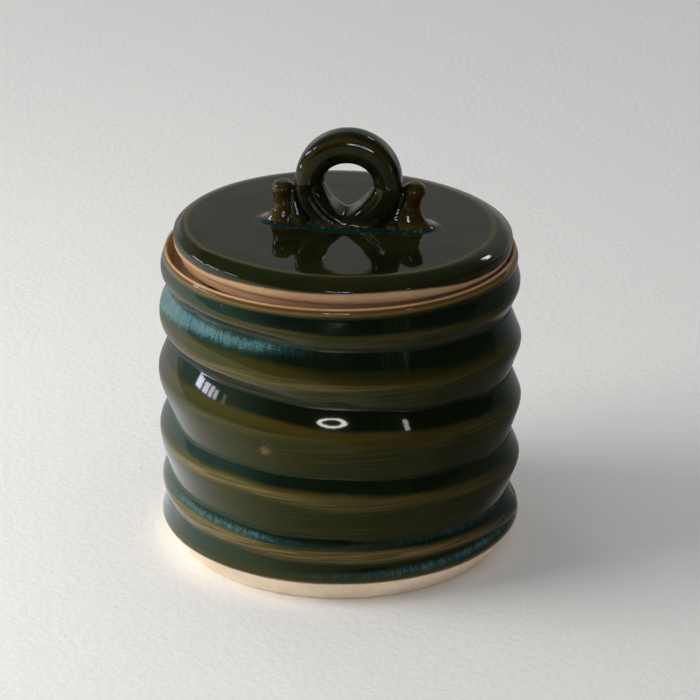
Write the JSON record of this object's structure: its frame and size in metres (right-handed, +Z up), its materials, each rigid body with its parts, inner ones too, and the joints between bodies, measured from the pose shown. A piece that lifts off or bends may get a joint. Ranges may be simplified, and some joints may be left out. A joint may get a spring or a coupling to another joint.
{
  "type": "butter keeper",
  "caption": "Stoneware butter keeper: a round crock with a spiral of throwing ridges, and a lift-off lid that carries a butter bell below and a coiled ring handle on top.",
  "frame": {"origin": "centre of the flat base, on the crock's axis", "axes": "+Z up along the crock's axis; -Y is the side that the handle's ring faces, turned by 6 degrees; +X to the right of it"},
  "size_m": [0.1068, 0.1068, 0.1264],
  "materials": {
    "crock_glaze": "glossy dark green glaze that breaks to amber on the ridges, bare buff clay at foot and rim",
    "lid_glaze": "glossy dark green glaze on top, bare buff clay edge and underside",
    "bell_glaze": "glossy dark green glaze",
    "handle_glaze": "glossy olive glaze, amber on the edges, pooling teal at the foot"
  },
  "bodies": {
    "crock": {"crock_body": "crock_glaze"},
    "lid": {"lid_plate": "lid_glaze", "butter_bell": "bell_glaze", "handle_loop": "handle_glaze", "handle_curl_left": "handle_glaze", "handle_curl_right": "handle_glaze"}
  },
  "joints": [
    {"name": "lid_lift", "type": "slide", "parent": "crock", "child": "lid", "axis": [0, 0, 1], "range_m": [0, 0.08]}
  ]
}
